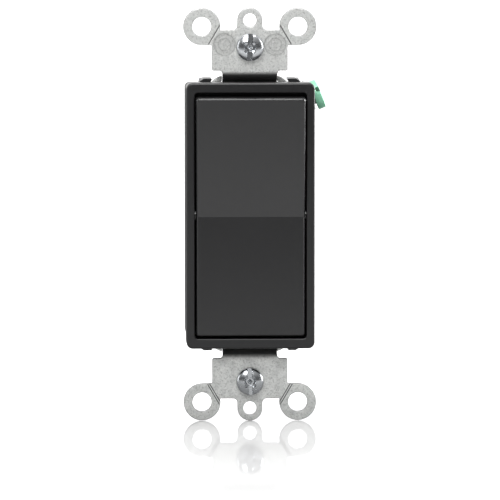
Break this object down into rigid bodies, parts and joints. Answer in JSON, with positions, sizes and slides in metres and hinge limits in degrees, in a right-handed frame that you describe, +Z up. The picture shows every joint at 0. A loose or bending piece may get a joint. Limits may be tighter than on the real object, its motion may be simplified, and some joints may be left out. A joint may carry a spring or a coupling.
{
  "type": "rocker wall switch",
  "caption": "Rectangular paddle wall switch: tilting rocker in a slim frame on a metal mounting strap, with rear case, side terminal screws, push-in wire holes and a grounding screw.",
  "frame": {"origin": "midway between the two box screws, in the plane of the ears' rear faces, which rest on the wall", "axes": "+X to the right seen from the room, +Y into the wall, +Z up along the strap"},
  "size_m": [0.0359, 0.0357, 0.103],
  "materials": {
    "galvanised_steel": "hot-dip galvanised, mottled satin",
    "black_frame": "fine matte moulding",
    "black_paddle": "satin, smooth",
    "black_case": "matte thermoset",
    "white_nylon": "satin",
    "spring_steel": "bright",
    "brass": "satin",
    "silver_contact": "bright silver alloy",
    "stop_rubber": "matte",
    "insulating_sheet": "matte vulcanised fibre",
    "zinc_screw": "bright zinc plate",
    "fibre_washer": "matte fibre",
    "green_screw": "green dyed zinc plate, glossy"
  },
  "bodies": {
    "case": {"strap": "galvanised_steel", "frame": "black_frame", "housing": "black_case", "insulator": "insulating_sheet", "line_terminal": "brass", "load_terminal": "brass", "fixed_contact": "silver_contact", "contact_stop": "stop_rubber", "line_push_in_clip": "spring_steel", "load_push_in_clip": "spring_steel", "housing_rivets": "zinc_screw"},
    "paddle": {"rocker": "black_paddle", "plunger_spring": "spring_steel"},
    "plunger": {"plunger": "white_nylon"},
    "contact_bar": {"contact_rocker": "brass", "moving_contact": "silver_contact"},
    "top_washer": {"top_screw_retainer": "fibre_washer"},
    "top_screw": {"top_mount_screw": "zinc_screw"},
    "bottom_washer": {"bottom_screw_retainer": "fibre_washer"},
    "bottom_screw": {"bottom_mount_screw": "zinc_screw"},
    "line_terminal_screw": {"line_screw": "brass"},
    "load_terminal_screw": {"load_screw": "brass"},
    "grounding_screw": {"ground_screw": "green_screw"}
  },
  "joints": [
    {"name": "rocker_tilt", "type": "hinge", "parent": "case", "child": "paddle", "pos_m": [0, -0.003, 0], "axis": [1, 0, 0], "range_deg": [-6.2, 0]},
    {"name": "contact_rock", "type": "hinge", "parent": "case", "child": "contact_bar", "pos_m": [0, 0.013, 0], "axis": [1, 0, 0], "range_deg": [0, 10]},
    {"name": "plunger_slide", "type": "slide", "parent": "paddle", "child": "plunger", "axis": [0, 0.9985, 0.0541], "range_m": [-0.0006, 0], "stiffness_N_per_m": 40, "springref_m": 0.01, "deforming": ["plunger_spring"]},
    {"name": "top_screw_float", "type": "slide", "parent": "case", "child": "top_washer", "axis": [1, 0, 0], "range_m": [-0.0013, 0.0013]},
    {"name": "top_screw_turn", "type": "hinge", "parent": "top_washer", "child": "top_screw", "pos_m": [0, 0, 0.04167], "axis": [0, 1, 0], "continuous": true},
    {"name": "bottom_screw_float", "type": "slide", "parent": "case", "child": "bottom_washer", "axis": [1, 0, 0], "range_m": [-0.0013, 0.0013]},
    {"name": "bottom_screw_turn", "type": "hinge", "parent": "bottom_washer", "child": "bottom_screw", "pos_m": [0, 0, -0.04167], "axis": [0, 1, 0], "continuous": true},
    {"name": "line_screw_turn", "type": "hinge", "parent": "case", "child": "line_terminal_screw", "pos_m": [0.012, 0.011, 0.014], "axis": [1, 0, 0], "continuous": true},
    {"name": "load_screw_turn", "type": "hinge", "parent": "case", "child": "load_terminal_screw", "pos_m": [0.012, 0.011, -0.014], "axis": [1, 0, 0], "continuous": true},
    {"name": "ground_screw_turn", "type": "hinge", "parent": "case", "child": "grounding_screw", "pos_m": [0.01555, 0.008, 0.02887], "axis": [0.9205, 0, 0.3907], "continuous": true}
  ],
  "couplings": [
    {"joint": "contact_rock", "follows": "rocker_tilt", "ratio": -1.6129}
  ]
}
